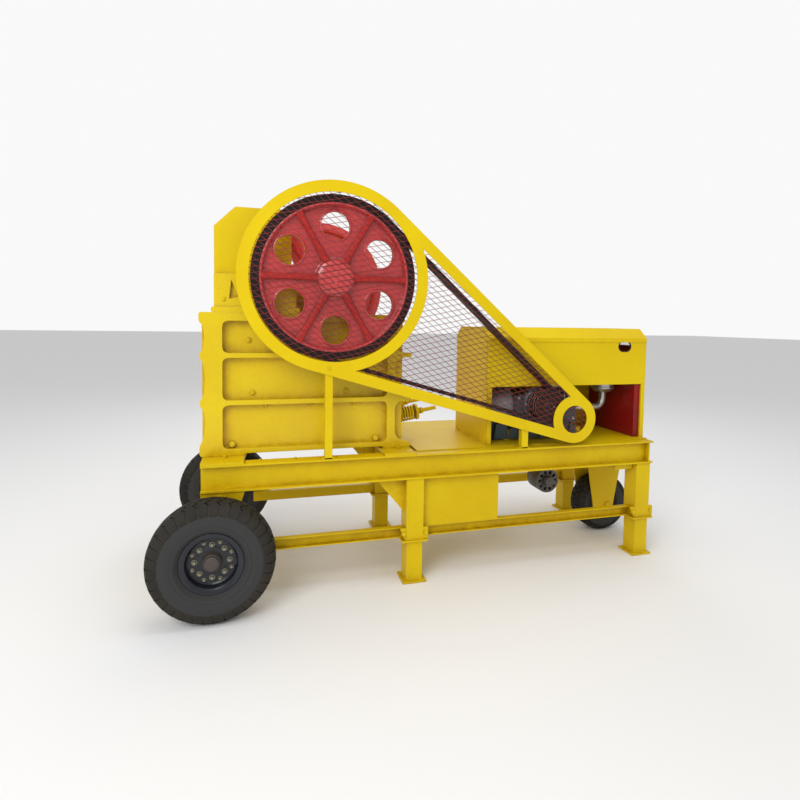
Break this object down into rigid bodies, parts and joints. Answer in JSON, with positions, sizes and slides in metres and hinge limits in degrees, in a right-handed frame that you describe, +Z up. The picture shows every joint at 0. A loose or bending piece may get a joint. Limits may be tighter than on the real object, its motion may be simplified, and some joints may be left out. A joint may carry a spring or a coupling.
{
  "type": "portable jaw crusher",
  "caption": "Portable jaw crusher on a legged and wheeled steel frame, driven by belts from a canopied engine behind a flat mesh guard.",
  "frame": {"origin": "on the ground under the middle of the machine's overall length and width", "axes": "+X from the crusher towards the engine, +Y from the guarded belt side to the plain side, +Z up"},
  "size_m": [3.0849, 1.33, 2.1918],
  "materials": {
    "yellow_paint": "gloss paint",
    "red_enamel": "gloss enamel",
    "mesh_red": "dull red paint",
    "tyre_rubber": "moulded rubber",
    "rim_grey": "dark grey paint",
    "manganese_steel": "raw casting",
    "belt_rubber": "matt rubber",
    "shaft_steel": "turned steel",
    "pulley_iron": "worn dark iron",
    "engine_grey": "grey-green paint",
    "radiator_red": "satin red paint",
    "bare_aluminium": "cast aluminium"
  },
  "bodies": {
    "machine": {"air_cleaner": "bare_aluminium", "alternator": "bare_aluminium", "alternator_hanger": "yellow_paint", "axle_hangers": "yellow_paint", "beam_far": "yellow_paint", "beam_near": "yellow_paint", "bearing_housings": "yellow_paint", "belt_mesh": "mesh_red", "canopy_end_panel": "yellow_paint", "canopy_far_panel": "yellow_paint", "canopy_near_panel": "yellow_paint", "canopy_posts": "yellow_paint", "canopy_roof": "yellow_paint", "cheek_liners": "manganese_steel", "clutch_housing": "engine_grey", "cross_beams": "yellow_paint", "cylinder_head": "engine_grey", "deck_plate": "yellow_paint", "drive_belts": "belt_rubber", "end_legs": "yellow_paint", "engine_block": "engine_grey", "engine_skids": "yellow_paint", "fixed_jaw_plate": "manganese_steel", "front_axle": "yellow_paint", "front_wall": "yellow_paint", "guard_frame": "yellow_paint", "guard_posts": "yellow_paint", "hopper_cheeks": "yellow_paint", "hopper_front_plate": "yellow_paint", "lower_rails": "yellow_paint", "mid_legs": "yellow_paint", "radiator": "radiator_red", "rear_block": "yellow_paint", "rear_fork": "yellow_paint", "side_frame_far": "yellow_paint", "side_frame_near": "yellow_paint", "side_skirts": "yellow_paint", "sole_plates": "yellow_paint", "swing_jaw": "yellow_paint", "swing_jaw_plate": "manganese_steel", "tension_rods": "yellow_paint", "tension_springs": "yellow_paint", "toggle_plate": "yellow_paint", "wheel_mesh": "mesh_red"},
    "crank": {"eccentric_shaft": "shaft_steel", "drive_flywheel": "red_enamel", "balance_flywheel": "red_enamel"},
    "engine_drive": {"engine_pulley": "pulley_iron"},
    "near_wheel": {"near_wheel_tyre": "tyre_rubber", "near_wheel_rim": "rim_grey"},
    "far_wheel": {"far_wheel_tyre": "tyre_rubber", "far_wheel_rim": "rim_grey"},
    "rear_wheel": {"rear_wheel_tyre": "tyre_rubber", "rear_wheel_rim": "rim_grey"}
  },
  "joints": [
    {"name": "flywheel_spin", "type": "hinge", "parent": "machine", "child": "crank", "pos_m": [-0.6325, 0, 1.69], "axis": [0, 1, 0], "continuous": true},
    {"name": "pulley_spin", "type": "hinge", "parent": "machine", "child": "engine_drive", "pos_m": [0.6525, 0, 0.968], "axis": [0, 1, 0], "continuous": true},
    {"name": "near_wheel_spin", "type": "hinge", "parent": "machine", "child": "near_wheel", "pos_m": [-1.2425, -0.5825, 0.3], "axis": [0, 1, 0], "continuous": true},
    {"name": "far_wheel_spin", "type": "hinge", "parent": "machine", "child": "far_wheel", "pos_m": [-1.2425, 0.5825, 0.3], "axis": [0, 1, 0], "continuous": true},
    {"name": "rear_wheel_spin", "type": "hinge", "parent": "machine", "child": "rear_wheel", "pos_m": [1.3425, 0, 0.2], "axis": [0, 1, 0], "continuous": true}
  ],
  "couplings": [
    {"joint": "pulley_spin", "follows": "flywheel_spin", "ratio": 4.597}
  ]
}
